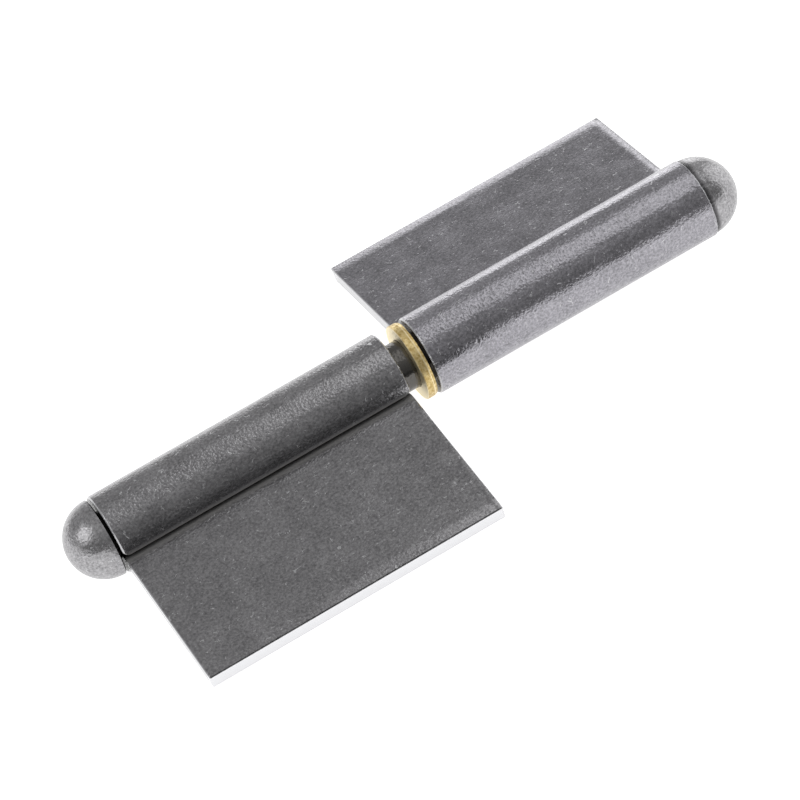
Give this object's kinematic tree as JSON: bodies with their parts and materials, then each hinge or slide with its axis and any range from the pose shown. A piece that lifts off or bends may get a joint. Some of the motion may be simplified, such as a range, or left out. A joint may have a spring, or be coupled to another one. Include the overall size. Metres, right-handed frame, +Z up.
{
  "type": "flag hinge",
  "caption": "Weld-on lift-off flag hinge: two rolled steel leaves on a domed pin with a brass thrust ring, lying drawn slightly apart.",
  "frame": {"origin": "middle of the hinge's length, below the pin axis, on the floor that the hinge lies on", "axes": "+X along the pin from its domed head to the plugged knuckle, +Y towards the socket leaf's flag, +Z up from the floor"},
  "size_m": [0.1454, 0.082, 0.016],
  "materials": {
    "leaf_steel": "bare rolled sheet, tumbled, mottled grey with fine light scratches",
    "turned_steel": "bare turned steel, domes burnished by tumbling, pin dark with oil",
    "ring_brass": "turned brass, slightly dulled"
  },
  "bodies": {
    "fixed_leaf": {"pin_leaf": "leaf_steel"},
    "pin": {"hinge_pin": "turned_steel"},
    "ring": {"thrust_ring": "ring_brass"},
    "lift_leaf": {"socket_leaf": "leaf_steel", "end_plug": "turned_steel"}
  },
  "joints": [
    {"name": "leaf_swing", "type": "hinge", "parent": "fixed_leaf", "child": "pin", "pos_m": [0, 0, 0.008], "axis": [1, 0, 0], "continuous": true},
    {"name": "ring_slide", "type": "slide", "parent": "pin", "child": "ring", "axis": [1, 0, 0], "range_m": [-0.00315, 0]},
    {"name": "lift_off", "type": "slide", "parent": "ring", "child": "lift_leaf", "axis": [1, 0, 0], "range_m": [-0.0007, 0.055]}
  ]
}
